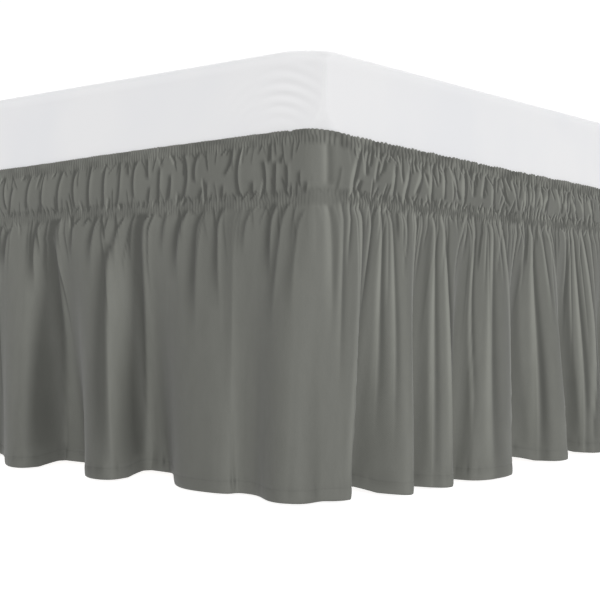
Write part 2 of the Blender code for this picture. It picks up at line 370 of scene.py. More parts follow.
turn_length = math.pi / 2 * CLOTH_CORNER
side_length = BED_LENGTH + 2 * LINE_OFF - 2 * CLOTH_CORNER
end_length = BED_WIDTH + 2 * LINE_OFF - 2 * CLOTH_CORNER
KNOTS = np.cumsum(
    [0, turn_length / 2, side_length, turn_length, end_length]
    + [turn_length, side_length, turn_length, end_length, turn_length / 2]
)
PERIMETER = float(KNOTS[-1])
CORNERS = np.array([0.0, *(KNOTS[[2, 4, 6]] + KNOTS[1]), PERIMETER])


def wall_point(along, out):
    """The plan point at a distance along the line round the bed, and a distance out from it."""
    across = BED_WIDTH / 2 + LINE_OFF - CLOTH_CORNER
    down = BED_LENGTH / 2 + LINE_OFF - CLOTH_CORNER
    along = np.mod(along, PERIMETER)
    core_x = np.interp(along, KNOTS, np.array([1, 1, 1, 1, -1, -1, -1, -1, 1, 1]) * across)
    core_y = np.interp(along, KNOTS, np.array([-1, -1, 1, 1, 1, 1, -1, -1, -1, -1]) * down)
    facing = np.interp(along, KNOTS, np.radians([-45, 0, 0, 90, 90, 180, 180, 270, 270, 315]))
    reach = CLOTH_CORNER + out
    return core_x + reach * np.cos(facing), core_y + reach * np.sin(facing)


def dip(along):
    """How far a row of the heading hangs below its corners: half a sine wave on each side."""
    along = np.mod(along, PERIMETER)
    depth = np.zeros_like(along)
    for start, end, most in zip(CORNERS, CORNERS[1:], (SIDE_DIP, END_DIP, SIDE_DIP, END_DIP)):
        depth += most * np.sin(np.pi * np.clip((along - start) / (end - start), 0, 1))
    return depth


def bell(offset, width):
    """A bell curve: 1 at no offset, and 1 / e at an offset of the width."""
    return np.exp(-((offset / width) ** 2))


def nearest(distance):
    """A distance round the bed, taken the shorter way, which may be backwards."""
    return (distance + PERIMETER / 2) % PERIMETER - PERIMETER / 2


def row_height(along, down):
    """Height of each row: its depth and its share of the dip below the top, and its lift.

    The top band takes all of the dip and the lift. Down the puffs these fall evenly, to a fifth
    of the dip and no lift, which the lower band and the drop keep.
    """
    upper = 1 - np.clip((down - TOP_BAND) / PUFF_DEPTH, 0, 1)[:, None]
    lift = np.interp(nearest(along), *np.transpose(TOP_LIFT))
    return SKIRT_TOP - down[:, None] - (LOWER_DIP + (1 - LOWER_DIP) * upper) * dip(along) + upper * lift


def uneven(along, pitch, seed):
    """A smooth random wave round the bed, from -1 to 1, with a new value in each pitch."""
    count = round(PERIMETER / pitch)
    values = np.random.default_rng(seed).uniform(-1, 1, count)
    place = np.mod(along, PERIMETER) / PERIMETER * count
    first = np.floor(place).astype(int)
    share = smooth(0, 1, place - first)
    return values[first % count] * (1 - share) + values[(first + 1) % count] * share


def by_wall(along, side, end):
    """One value on the long sides and another on the ends, blended over 60 mm at each corner."""
    place = np.mod(along, PERIMETER)
    reach = [smooth(corner - 0.03, corner + 0.03, place) for corner in CORNERS[1:4]]
    return end + (side - end) * (smooth(0, 0.06, place) - reach[0] + reach[1] - reach[2])


def rib_wave(along, down):
    """The ribs, up to 1 high: |sin(pi * count)| ** 0.8, so crests are round and valleys sharp.

    The count of ribs passes from the top band's pitches to the lower band's half way down the
    puffs. It shifts unevenly by up to 0.42 of a rib, and the height is 0.4 to 1. Both change
    half way down each band, 7 and 74 mm down, so a rib seldom runs straight on.
    """
    lower = smooth(0.03, 0.05, down)[:, None]
    place = 0
    for pitches, weight in ((RIB_PITCHES, 1 - lower), (LOWER_RIB_PITCHES, lower)):
        counts = np.cumsum([0, *(round(gap / pitch) for gap, pitch in zip(np.diff(CORNERS), pitches))])
        place = place + weight * np.interp(np.mod(along, PERIMETER), CORNERS, counts)
    middle, low = smooth(0.004, 0.010, down)[:, None], smooth(0.070, 0.078, down)[:, None]
    shift, height = 0, 0
    for row, weight in enumerate((1 - middle, middle - low, low)):
        shift = shift + weight * uneven(along, 0.013, SEED + 11 + row)
        height = height + weight * uneven(along, 0.011, SEED + 15 + row)
    return np.abs(np.sin(np.pi * (place + 0.42 * shift))) ** 0.8 * (0.7 + 0.3 * height)


def in_metres(table, columns):
    """A table as an array, with this many of its first columns turned from mm into metres."""
    table = np.array(table)
    table[:, :columns] /= 1000
    return table


# Small folds of the puffs near the foot's right corner. Each has three places along the cloth
# line, where it begins, passes its middle and ends, its start and end below the top edge, and
# its width, all in mm. Its steepness is the slope beside its crest, on the crest's right
# where it is above zero and on its left below.
PUFF_FOLDS_MM = (
    # at_top, middle, at_foot, starts, ends, wide, steep
    (-528, -533, -540, 30, 66, 4.8, -0.9),
    (-492, -496, -501, 15, 61, 5, -0.97),
    (-466, -466, -473, 15, 68, 5, -0.97),
    (-428, -432, -439, 15, 68, 5.2, -1.01),
    (-403, -402, -404, 15, 64, 4.8, -0.86),
    (-372, -372, -377, 15, 66, 5, -0.97),
    (-345, -344, -349, 15, 67, 4.9, -0.93),
    (-318, -315, -325, 15, 68, 4.8, -0.86),
    (-304, -302, -300, 15, 30, 4.2, -0.71),
    (-290, -290, -291, 15, 58, 4.8, -0.86),
    (-269, -266, -264, 15, 37, 4.8, -0.86),
    (-261, -264, -268, 49, 64, 4.5, -0.8),
    (-243, -244, -249, 28, 66, 4.9, -0.93),
    (-225, -226, -231, 37, 64, 4.8, -0.86),
    (-206, -197, -208, 15, 66, 5, -0.97),
    (-182, -185, -184, 15, 46, 4.6, -0.82),
    (-174, -177, -181, 56, 66, 4.6, -0.82),
    (-165, -167, -169, 51, 66, 4.9, -0.92),
    (-140, -142, -143, 55, 66, 4.5, -0.8),
    (-129, -127, -135, 15, 42, 4.8, -0.9),
    (-113, -115, -116, 15, 66, 5, -0.95),
    (-93, -95, -96, 54, 66, 4.8, -0.86),
    (-77, -74, -79, 32, 66, 4.6, -0.84),
    (-69, -67, -66, 15, 33, 4.5, -0.78),
    (-59, -60, -63, 35, 66, 4.9, -0.92),
    (-50, -51, -51, 28, 36, 4.1, -0.69),
    (-43, -43, -46, 39, 66, 4.6, -0.84),
    (-25, -26, -26, 47, 62, 4.1, -0.67),
    (-17, -18, -19, 58, 68, 3.9, -0.63),
    (2, 2, 2, 15, 60, 4.5, 0.3),
    (22, 20, 18, 40, 65, 3.5, -0.4),
    (57, 42, 40, 15, 66, 4.6, 1.3),
    (72, 65, 63, 15, 43, 4.4, 1.18),
    (52, 49, 47, 52, 66, 4.3, 1.13),
    (95, 87, 83, 15, 49, 3.9, 0.82),
    (107, 100, 95, 15, 36, 4, 0.91),
    (123, 118, 119, 26, 66, 4.5, 1.27),
    (160, 147, 144, 15, 68, 4.3, 1.07),
    (183, 174, 166, 15, 58, 4.3, 1.13),
    (208, 197, 202, 15, 66, 4.4, 1.22),
    (233, 226, 229, 15, 60, 4, 0.91),
    (249, 252, 264, 15, 58, 3.9, 0.82),
    (281, 273, 277, 15, 61, 4.5, 1.3),
    (309, 301, 299, 15, 49, 4.4, 1.18),
    (333, 325, 322, 15, 49, 4.1, 1.02),
    (355, 346, 351, 15, 65, 4.4, 1.22),
    (369, 377, 388, 30, 56, 3.9, 0.82),
    (404, 404, 417, 15, 61, 4, 0.91),
    (443, 433, 437, 15, 63, 4.4, 1.18),
    (468, 460, 459, 15, 53, 4, 0.97),
    (487, 481, 484, 15, 53, 4, 0.97),
    (511, 496, 492, 15, 58, 4.1, 1.02),
    (535, 533, 540, 15, 56, 3.9, 0.86),
    (571, 555, 572, 15, 66, 4.1, 1.02),
    (580, 584, 596, 27, 65, 4.4, 1.18),
    (617, 611, 621, 15, 65, 4.3, 1.07),
    (637, 638, 650, 24, 66, 4.4, 1.22),
)
PUFF_FOLDS = in_metres(PUFF_FOLDS_MM, 3)
PUFF_PITCH = 0.025
TICK_PITCH = 0.0095
BETWEEN_PITCH = 0.018
# How far to each side the foot's right corner is calm, with only the faintest small folds.
CALM_CORNER = 0.030
# The order of a fold's numbers that gives it one width from top to foot.
EVEN_WIDTH = [0, 1, 2, 3, 4, 5, 5, 6]
# Folds that start lower than this many mm are the drop's, and the others the puffs'.
DROP_FOLDS_BELOW = 74
# How many mm down two thirds of the lean of the drop's folds is lost.
LEAN_DEPTH = 13
# How round the top of a crest is, and the width past which a fall grows no deeper.
CREST = 0.0004
WIDEST_FALL = 0.011
# The painted light that a fold puts in the tone, by the side that it falls away on: how much
# painted highlight pales its crest, how much painted shade darkens its crease, how many widths
# from the crest that is, and a factor on both.
FOLD_PAINTED_LIGHT = {
    "left": (0.15, 0.60, 0.55, 1.0),
    "right, in the puffs": (0.80, 0.58, 1.00, 1.25),
    "right, in the drop": (0.80, 0.40, 0.55, 1.0),
}
# The least length in mm of a fold that parts two puffs.
FULL_FOLD = 34


def unevenly(draw, folds, pitch, least, most):
    """Places from the last of these folds on round to the first, about a pitch apart."""
    start, end = folds[-1][2] + 0.02, PERIMETER + folds[0][0] - 0.02
    steps = draw.uniform(least, most, round((end - start) / pitch))
    return start + np.cumsum(steps) * (end - start) / steps.sum()


def loosely(draw, pitch):
    """Places all round, each up to two fifths of the pitch off an even spacing."""
    count = round(PERIMETER / pitch)
    return (np.arange(count) + draw.uniform(-0.4, 0.4, count)) * PERIMETER / count + MAP_START


def more_puff_folds():
    """Folds for the rest of the way round, unevenly spaced, most of them as deep as the strip.

    Eighteen in a hundred start part way down it, and twenty-two end part way.
    """
    draw = np.random.default_rng(SEED + 20)
    middle = unevenly(draw, PUFF_FOLDS, PUFF_PITCH, 0.55, 1.45)
    count = len(middle)
    slant, bow = draw.normal(0, 0.004, count), draw.normal(0, 0.002, count)
    part = draw.uniform(0, 1, count)
    starts = np.where(part < 0.18, draw.uniform(28, 46, count), draw.uniform(11, 16, count))
    ends = np.where(part > 0.78, draw.uniform(38, 52, count), draw.uniform(59, 67, count))
    wide, steep = draw.uniform(3.4, 5.0, count), turned(draw, middle, draw.uniform(0.8, 1.3, count))
    places = [middle + slant + bow, middle, middle - slant + bow]
    return np.column_stack([*places, starts, ends, wide, steep])


def turned(draw, along, steep):
    """Folds that fall away on their right on the long sides and on their left at the ends.

    A few are the other way about.
    """
    other = draw.uniform(0, 1, len(along)) < 0.18
    return np.where((by_wall(along, 1, 0) > 0.5) != other, steep, -steep)


def band_ticks():
    """Short folds that run from each band into the puffs, and small ones between the full folds.

    The square of a draw sets how far they reach, so that most are short.
    """
    draw = np.random.default_rng(SEED + 21)
    ticks = []
    for kind, pitch in (("upper", TICK_PITCH), ("lower", TICK_PITCH), ("between", BETWEEN_PITCH)):
        middle = loosely(draw, pitch)
        count = len(middle)
        slant = draw.normal(0, 0.0026, count)
        length = 3 + 20 * draw.uniform(0, 1, count) ** 2
        loose = draw.uniform(13, 34, count)
        if kind == "upper":
            starts, ends = np.full(count, 13.0), 17 + length
        elif kind == "lower":
            starts, ends = 68 - length, np.full(count, 72.0)
        else:
            starts, ends = loose, loose + 12 + 1.2 * length
        strong = np.where(np.abs(middle - 0.006) < CALM_CORNER, 0.1, by_wall(middle, 1, 0.6))
        steep = draw.uniform(0.6, 1.3, count) * strong
        if kind == "between":
            steep *= np.where(middle < 0.08, 0.0, 0.7)
        wide, steep = draw.uniform(1.9, 3.0, count), turned(draw, middle, steep)
        places = [middle + slant, middle, middle - slant]
        ticks.append(np.column_stack([*places, starts, ends, wide, steep]))
    ticks = np.concatenate(ticks)
    return ticks[ticks[:, 6] != 0]


def add_folds(out, nap_and_painted_light, along, down, folds):
    """Adds small folds to a surface and to its tone of painted light in place, each along a line that sways
    down.

    out has a row for each depth and a column for each place along. A line follows a parabola
    through its three places, and the drop's also lean aside at their tops. The crest is a
    narrow ridge. On one side of it, the right where steep is above zero, the cloth falls by a
    hyperbolic tangent, which makes steep the slope beside the crest, and comes back up as an
    exponential. Bell curves put a painted highlight on the crest and painted shade beside it. A
    fold fades at both ends, and one of the drop over more of its length.
    """
    for top, middle, foot, starts, ends, wide, wide_foot, steep in folds:
        in_drop = starts > DROP_FOLDS_BELOW
        kind = "left" if steep < 0 else "right, in the drop" if in_drop else "right, in the puffs"
        # The painted highlight and painted shade for this kind of fold.
        paler, darker, crease_at, strength = FOLD_PAINTED_LIGHT[kind]
        length = ends - starts
        soft = min(4.0, 0.3 * length)
        fade = soft + (0.38 * length if in_drop else 0.0)
        rows = np.nonzero((down * 1000 > starts - soft) & (down * 1000 < ends + fade))[0]
        where = nearest(along - middle)
        near = np.nonzero(np.abs(where) < 0.008 * max(wide, wide_foot))[0]
        if not len(rows) or not len(near):
            continue
        depth = down[rows, None] * 1000
        t = np.clip((depth - starts) / length, 0, 1)
        bend = (1 - t) * (1 - 2 * t) * (top - middle) + t * (2 * t - 1) * (foot - middle)
        if in_drop:
            lean = min(0.0018 * wide, 0.009) if steep < 0 else -0.003
            bend += lean * np.exp(-np.maximum(depth - starts, 0) / LEAN_DEPTH)
        shown = smooth(starts - soft, starts + soft, depth) * (1 - smooth(ends - fade, ends + fade, depth))
        width = 0.001 * (wide + (wide_foot - wide) * t**0.6)
        across = where[near][None, :] - bend
        place = np.sign(steep) * across / width
        beside = np.maximum(place, 0)
        ridge = 0.4 * np.exp(-np.sqrt(across**2 + CREST**2) / (0.4 * width))
        fall = np.tanh(2 * beside) * np.exp(-beside / 1.5)
        out[np.ix_(rows, near)] += abs(steep) * 0.5 * np.minimum(width, WIDEST_FALL) * shown * (ridge - fall)
        # Painted highlight on the crest and painted shade in the crease beside it.
        crest = paler * bell(place + 0.3, 0.6)
        crease = np.tanh(4 * beside) * bell(beside - crease_at, 0.95) * darker
        if in_drop:
            crest = crest * (1 - 0.5 * t)
        nap_and_painted_light[np.ix_(rows, near)] += min(abs(steep), 1.0) * strength * shown * (crest - crease)


def valleys(along, down):
    """The sag of the cloth from one full fold to the next: half a sine wave across and down."""
    full = np.sort([np.mod(fold[1], PERIMETER) for fold in puff_folds if fold[4] - fold[3] > FULL_FOLD])
    full = np.concatenate([[full[-1] - PERIMETER], full, [full[0] + PERIMETER]])
    count = np.interp(np.mod(along, PERIMETER), full, np.arange(len(full)))
    share = np.clip((down - TOP_BAND) / PUFF_DEPTH, 0, 1)
    return np.abs(np.sin(np.pi * count))[None, :] * np.sin(np.pi * share)[:, None]


def heading_out(along, down):
    """How far the heading stands out, and its tone of painted light, at each depth below its top and
    distance along.

    Ribs stand on the two bands and die out into the puffs, which swell between the bands with
    half a sine wave and sag between their folds. Swell and lower ribs are less at the foot's
    right corner. The cloth lies 0.4 mm off its line, and 2 mm where the drop's gathers begin
    under the lower band. Painted light sets the tone: painted highlight on crests, painted shade
    in the ribs' valleys and at the foot's right corner. It also varies at random and is darker
    on the lower band.
    """
    share = (down - TOP_BAND) / PUFF_DEPTH
    below = down - TOP_BAND - PUFF_DEPTH - LOWER_BAND
    top_ribs = smooth(0.0, 0.002, down) * (1 - smooth(-0.002, 0.005, down - TOP_BAND))
    low_ribs = smooth(-0.006, 0.0, below + LOWER_BAND) * (1 - smooth(-0.002, 0.008, below))
    at_corner = 1 - 0.7 * bell(along - 0.002, 0.024)
    ribs = top_ribs[:, None] * by_wall(along, *RIB_DEPTHS)
    ribs = ribs + low_ribs[:, None] * by_wall(along, *LOWER_RIB_DEPTHS) * at_corner
    swell = 1 + 0.16 * uneven(along, 0.05, SEED + 32) - 0.45 * bell(along, 0.05)
    bulge = np.sin(np.pi * np.clip(share, 0, 1))[:, None] ** 0.8
    wave = rib_wave(along, down)
    out = ribs * wave + PUFF_OUT * bulge * swell
    # Painted highlight on the ribs' crests, painted shade in their valleys and at the corner.
    nap_and_painted_light = 0.47 + ribs * (400 * wave - 240) - 0.02 * bell(along, 0.03)
    nap_and_painted_light += 0.05 * uneven(along, 0.03, SEED + 33)
    nap_and_painted_light -= 0.075 * low_ribs[:, None] + smooth(0.0, 0.018, below)[:, None] * by_wall(along, 0.04, 0.0)
    out -= by_wall(along, *SAGS) * valleys(along, down)
    out += (0.0004 + 0.0016 * smooth(0.0, 0.018, below))[:, None]
    for folds in (puff_folds, ticks, drop_folds):
        add_folds(out, nap_and_painted_light, along, down, folds)
    return np.maximum(out, 0.0001), np.clip(nap_and_painted_light, DARKEST, 1)


# Small folds of the drop near the foot's right corner, given as those of the puffs are but
# with their width at the top and at the foot.
DROP_FOLDS_MM = (
    # at_top, middle, at_foot, starts, ends, wide, wide_foot, steep
    (-547, -548, -549, 89, 129, 6.5, 12, -0.95),
    (-485, -490, -489, 82, 150, 6.5, 9, -0.75),
    (-443, -459, -467, 80, 400, 13, 24, -0.82),
    (-414, -412, -415, 77, 119, 3.9, 5.8, -0.65),
    (-368, -372, -374, 80, 130, 5, 9, -0.55),
    (-345, -350, -348, 118, 370, 11, 17, -0.6),
    (-322, -330, -333, 86, 130, 5, 8, -0.6),
    (-276, -290, -302, 80, 385, 15, 20, -0.8),
    (-244, -243, -245, 80, 120, 4, 6, -0.5),
    (-209, -215, -217, 80, 140, 7, 11, -0.7),
    (-185, -186, -187, 84, 190, 6, 10, -0.55),
    (-152, -154, -156, 80, 170, 5, 9, -0.6),
    (-130, -131, -137, 84, 290, 9, 17, -0.24),
    (-108, -109, -111, 82, 122, 5.2, 6.9, -0.45),
    (-70, -69, -68, 80, 145, 6, 9, -0.65),
    (-52, -56, -60, 80, 190, 5.5, 9, -0.45),
    (-29, -33, -36, 90, 180, 4.5, 8, -0.35),
    (6, 8, 9, 84, 190, 5, 9, 0.5),
    (24, 23, 22, 80, 230, 4, 7, 0.55),
    (58, 60, 49, 84, 365, 5, 12, 1),
    (78, 80, 81, 81, 180, 4, 5, 0.8),
    (98, 107, 111, 80, 280, 4, 6, 0.95),
    (118, 127, 128, 86, 300, 4, 5, 0.75),
    (147, 148, 140, 84, 140, 3.5, 4, 0.8),
    (172, 162, 155, 82, 365, 4.5, 8, 1.1),
    (187, 182, 180, 84, 150, 3.5, 5, 0.7),
    (205, 216, 224, 95, 365, 7, 14, -0.3),
    (211, 222, 226, 82, 380, 4, 7, 0.85),
    (231, 246, 251, 81, 365, 4, 8, 1.15),
    (290, 268, 258, 78, 170, 3.8, 4, 1),
    (306, 317, 334, 78, 300, 4, 6, 1),
    (308, 325, 338, 110, 365, 7, 14, -0.3),
    (337, 338, 340, 80, 150, 3.6, 4, 0.8),
    (353, 355, 360, 80, 390, 4, 8, 0.8),
    (375, 392, 380, 78, 365, 4.2, 8, 1.2),
    (420, 410, 398, 80, 220, 4, 5, 1.1),
    (440, 443, 446, 78, 150, 3.6, 4, 0.8),
    (440, 455, 466, 130, 365, 7, 12, -0.25),
    (460, 471, 473, 80, 390, 4, 8, 0.95),
    (486, 492, 496, 78, 180, 3.6, 5, 0.85),
    (505, 530, 505, 78, 365, 4.2, 8, 1.15),
    (560, 567, 566, 80, 170, 3.8, 5, 0.9),
    (572, 586, 597, 95, 365, 7, 15, -0.4),
    (585, 600, 600, 79, 390, 4, 8, 1.1),
    (615, 628, 612, 80, 365, 4.2, 8, 1.1),
    (640, 645, 650, 78, 190, 3.8, 5, 0.9),
)
DROP_FOLDS = in_metres(DROP_FOLDS_MM, 3)
DROP_FOLD_PITCH = 0.030
SHORT_FOLD_PITCH = 0.0115


def more_drop_folds():
    """Long folds for the rest of the way round, then forks and short folds for all of it.

    A fork leaves the band 8 to 14 mm from a long fold and runs into it as it falls. Both kinds
    are faint at the corner, and the short ones are weaker on the foot beside it.
    """
    draw = np.random.default_rng(SEED + 40)
    middle = unevenly(draw, DROP_FOLDS, DROP_FOLD_PITCH, 0.5, 1.5)
    count = len(middle)
    lean = draw.normal(0, 0.009, count)
    wide, steep = draw.uniform(3.4, 5.0, count), turned(draw, middle, draw.uniform(0.8, 1.3, count))
    flare = np.where(steep < 0, 2.6, 1.5)
    starts, ends = draw.uniform(77, 90, count), draw.uniform(150, 380, count)
    long_ones = [middle - lean, middle, middle + 0.5 * lean, starts, ends, wide, wide * flare, steep]
    long_ones = np.concatenate([DROP_FOLDS, np.column_stack(long_ones)])
    forks = long_ones.copy()
    count = len(forks)
    apart = draw.uniform(0.008, 0.014, count) * draw.choice([-1, 1], count)
    run = draw.uniform(0.2, 0.5, count) * (forks[:, 4] - forks[:, 3])
    forks[:, :3] = forks[:, :1] + np.column_stack([apart, 0.45 * apart, 0.1 * apart])
    forks[:, 3], forks[:, 4] = draw.uniform(78, 84, count), forks[:, 3] + run
    forks[:, 5:7] = draw.uniform(2.2, 3.2, (count, 1))
    at_corner = np.abs(forks[:, 1] + 0.003) < CALM_CORNER
    forks[:, 7] *= draw.uniform(0.4, 0.9, count) * np.where(at_corner, 0.2, 1)
    middle = loosely(draw, SHORT_FOLD_PITCH)
    count = len(middle)
    lean = draw.normal(0, 0.003, count)
    wide, steep = draw.uniform(2.0, 3.2, count), turned(draw, middle, draw.uniform(0.6, 1.2, count))
    steep *= by_wall(middle, 1, 0.65)
    weaker = np.where(np.abs(middle + 0.13) < 0.12, 0.5, 1)
    steep *= np.where(np.abs(middle + 0.003) < CALM_CORNER, 0.1, weaker)
    starts, ends = draw.uniform(77, 82, count), 86 + 55 * draw.uniform(0, 1, count) ** 2
    short_ones = [middle - lean, middle, middle + lean, starts, ends, wide, 1.5 * wide, steep]
    return np.concatenate([long_ones, forks, np.column_stack(short_ones)])


def band_piece(name, down, columns, material, edge=()):
    """A strip of the heading through these depths below the top edge, in metres.

    edge gives rows above it that turn over the top edge to the inside, as (height above the
    edge, distance out) in metres.
    """
    along = np.arange(columns) / columns * PERIMETER + MAP_START
    out, nap_and_painted_light = heading_out(along, down)
    height = row_height(along, down)
    if len(edge):
        beads = by_wall(along, *BEADS) * (rib_wave(along, down[:1])[0] - 0.6)
        beads += 0.0003 * uneven(along, 0.02, SEED + 50)
        beads -= NOTCH_DEEP * bell(along - NOTCH_AT, NOTCH_WIDE)
        height += beads[None, :] * np.exp(-down / 0.004)[:, None]
        height = np.vstack([[height[0] + lift for lift, back in edge], height])
        out = np.vstack([[np.minimum(out[0] + back, 0.0022) for lift, back in edge], out])
        down = np.concatenate([[line[0] for line in edge], down])
        nap_and_painted_light = np.vstack([nap_and_painted_light[:1]] * len(edge) + [nap_and_painted_light])
    x, y = wall_point(np.broadcast_to(along, out.shape), out)
    points = np.stack([x, y, height], -1)
    cloth = along - MAP_START, down
    return mesh_piece(name, points, material, cloth=cloth, nap_and_painted_light=nap_and_painted_light)


def worked_out(tree, operation, *values):
    """The result of arithmetic on these sockets and numbers."""
    node = add_node(tree, "ShaderNodeMath", dict(enumerate(values)), operation=operation)
    return node.outputs[0]


def weave_group():
    """A node group: a fine brushed weave on the cloth's own map, as a height and a tone.

    The height is 0.18 * sin(turn * u) * sin(turn * v), the threads, plus a soft noise. The tone
    is a slower noise drawn out down the cloth.
    """
    group = bpy.data.node_groups.new("brushed weave", "ShaderNodeTree")
    face = group.interface
    face.new_socket("Cloth", in_out="INPUT", socket_type="NodeSocketVector")
    face.new_socket("Turn per metre", in_out="INPUT", socket_type="NodeSocketFloat")
    for name in ("Height", "Tone"):
        face.new_socket(name, in_out="OUTPUT", socket_type="NodeSocketFloat")
    inlet, outlet = add_node(group, "NodeGroupInput"), add_node(group, "NodeGroupOutput")
    place, turn = inlet.outputs["Cloth"], inlet.outputs["Turn per metre"]
    split = add_node(group, "ShaderNodeSeparateXYZ", {0: place})
    angles = [worked_out(group, "MULTIPLY", split.outputs[axis], turn) for axis in ("X", "Y")]
    threads = worked_out(group, "MULTIPLY", *(worked_out(group, "SINE", angle) for angle in angles))
    soft = {"Vector": place, "Scale": 520.0, "Detail": 4.0, "Roughness": 0.7}
    nap_and_painted_light = add_node(group, "ShaderNodeTexNoise", soft)
    height = worked_out(group, "MULTIPLY_ADD", threads, 0.18, nap_and_painted_light.outputs["Fac"])
    drawn_out = {"Vector": place, "Scale": (90.0, 22.0, 1.0)}
    streak = add_node(group, "ShaderNodeMapping", drawn_out).outputs["Vector"]
    slow = {"Vector": streak, "Scale": 1.0, "Detail": 5.0, "Roughness": 0.65}
    brushed = add_node(group, "ShaderNodeTexNoise", slow)
    feed(outlet, {"Height": height, "Tone": brushed.outputs["Fac"]})
    return group


SKIRT_DARK = (0.151, 0.154, 0.138)
SKIRT_LIGHT = (0.167, 0.170, 0.153)


def brushed_microfibre():
    """The skirt's cloth: matt warm grey, paler seen edge on, with painted highlight on crests and painted
    shade in creases.
    """
    material, tree, shader = shader_nodes("brushed_microfibre")
    place = add_node(tree, "ShaderNodeUVMap", uv_map="cloth").outputs["UV"]
    threads = {"Cloth": place, "Turn per metre": 2400.0}
    weave = add_node(tree, "ShaderNodeGroup", threads, node_tree=weave_group())
    tint = colour_ramp(tree, weave.outputs["Tone"], (0.25, SKIRT_DARK), (0.75, SKIRT_LIGHT))
    # Painted light from the tone: painted shade below 0.5, painted highlight above it.
    tint_by_painted_light(tree, shader, tint, (0.0, 0.34), (0.5, 1.0), (1.0, 1.45))
    low_relief(tree, shader, weave.outputs["Height"], 0.35, 0.0005)
    feed(shader, {"Roughness": 0.7, "Specular IOR Level": 0.2})
    feed(shader, {"Sheen Weight": 0.12, "Sheen Roughness": 0.45})
    return material


puff_folds = np.concatenate([PUFF_FOLDS, more_puff_folds()])[:, EVEN_WIDTH]
ticks = band_ticks()[:, EVEN_WIDTH]
drop_folds = more_drop_folds()
skirt_cloth = brushed_microfibre()
EDGE_TURNED = ((-0.0060, -0.0012), (-0.0022, -0.0010), (-0.0006, -0.0007))
depths = np.array([0.0003, 0.0012, 0.003, 0.0055, 0.0085, 0.0115, 0.014, 0.0165, 0.019])
top_band = band_piece("top_band", depths, BAND_COLUMNS, skirt_cloth, EDGE_TURNED)
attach(top_band, "root")
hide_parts("heading")

# ---------------------------------------------------------------- puff strip
# The cloth left loose between the two bands, 53 mm deep. It stands out in soft puffs, most of
# them closed by a crease that runs down or aslant from one band to the other.

puff_strip = band_piece("puff_strip", np.linspace(0.019, 0.062, 15), PUFF_COLUMNS, skirt_cloth)
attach(puff_strip, "root")
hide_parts("heading")

# ---------------------------------------------------------------- lower band
# A second row of elastic, shirred as the top one is but narrower, and the first 6 mm under
# it, where the ribs close up two and three at a time into gathers.

lower_band = band_piece("lower_band", np.linspace(0.062, DROP_STARTS, 12), BAND_COLUMNS, skirt_cloth)
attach(lower_band, "root")
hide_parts("heading")

# ---------------------------------------------------------------- drop
# The skirt proper: one length of cloth, nearly one and a half times the bed's round,
# that falls from the lower band in deep uneven folds to a stitched hem just off the floor.

# The hem's height over the floor, how much higher it hangs in deep hollows, and its least.
HEM_HEIGHT = 0.005
HEM_LIFT = 0.005
LEAST_HEM = 0.003
# The folds away from the foot's right corner: their pitch, and the ranges of how far they stand
# out and in and of how broad they are. A fold on a corner stands out CORNER_OUT.
FOLD_PITCH = 0.134
FOLD_OUT = (0.028, 0.052)
FOLD_IN = (-0.050, -0.018)
FOLD_BREADTH = (1.6, 2.3)
CORNER_OUT = 0.034
SWELL = 0.35
DROP_OFF = 0.0025
# Samples from one turn of the cloth to the next, round the bed and near the corner.
SAMPLES = 35
SAMPLES_NEAR = 57
# How far above the join the drop starts, and its hem's depth for the folds and on the map.
OVERLAP = 0.007
HEM_DEPTH = 0.41
HEM_ON_MAP = 0.3176
# The heights over which the cloth, free below, is held on the heading's line, and over which
# the mattress's side comes to keep it out.
HELD = (0.285, 0.310)
KEPT_OUT = (0.290, 0.306)
# The turns of the cloth round the foot's right corner. A turn's breadth is its share of the
# room that it has.
TURNS_NEAR_CORNER_MM = (
    # at_band, at_hem, out, breadth
    (-610, -610, -30, 1.3),
    (-505, -500, 26, 1.5),
    (-460, -452, -50, 1.6),
    (-365, -326, 36, 2),
    (-286, -292, -45, 1.7),
    (-185, -165, 22, 2.2),
    (-100, -106, 2, 1.4),
    (-45, -36, 30, 1.6),
    (0, 0, -1, 1.2),
    (50, 31, 6, 0.9),
    (85, 78, -36, 1.4),
    (150, 103, 40, 1.6),
    (185, 142, -8, 1.5),
    (250, 178, 46, 1.8),
    (290, 226, 4, 1.5),
    (370, 292, 52, 2.4),
    (440, 428, -34, 1.7),
    (500, 496, 34, 1.8),
    (560, 570, -22, 1.7),
    (625, 616, 34, 1.8),
)
TURNS_NEAR_CORNER = in_metres(TURNS_NEAR_CORNER_MM, 3)


def drop_turns():
    """Every turn of the drop's folds: the corner's own, then the rest with a fold at each corner."""
    draw = np.random.default_rng(SEED + 2)
    turns = list(TURNS_NEAR_CORNER)
    corners = list(CORNERS[1:4])
    stops = [turns[-1][0], *corners, PERIMETER + turns[0][0] - FOLD_PITCH / 2]
    for start, end in zip(stops, stops[1:]):
        folds = round((end - start) / FOLD_PITCH)
        pitch = (end - start) / folds
        for fold in range(folds):
            inward = start + (fold + 0.5 + draw.uniform(-0.12, 0.12)) * pitch
            outward = start + (fold + 1 + draw.uniform(-0.12, 0.12)) * pitch
            beside = fold == 0 and start in corners or fold == folds - 1 and end in corners
            depth = draw.uniform(*FOLD_IN) * (0.5 if beside else 1.0)
            turns.append((inward, inward, depth, draw.uniform(*FOLD_BREADTH)))
            if fold < folds - 1 or end == stops[-1]:
                out = draw.uniform(*FOLD_OUT)
            else:
                outward, out = end, CORNER_OUT
            turns.append((outward, outward, out, draw.uniform(*FOLD_BREADTH)))
    return np.array(turns)


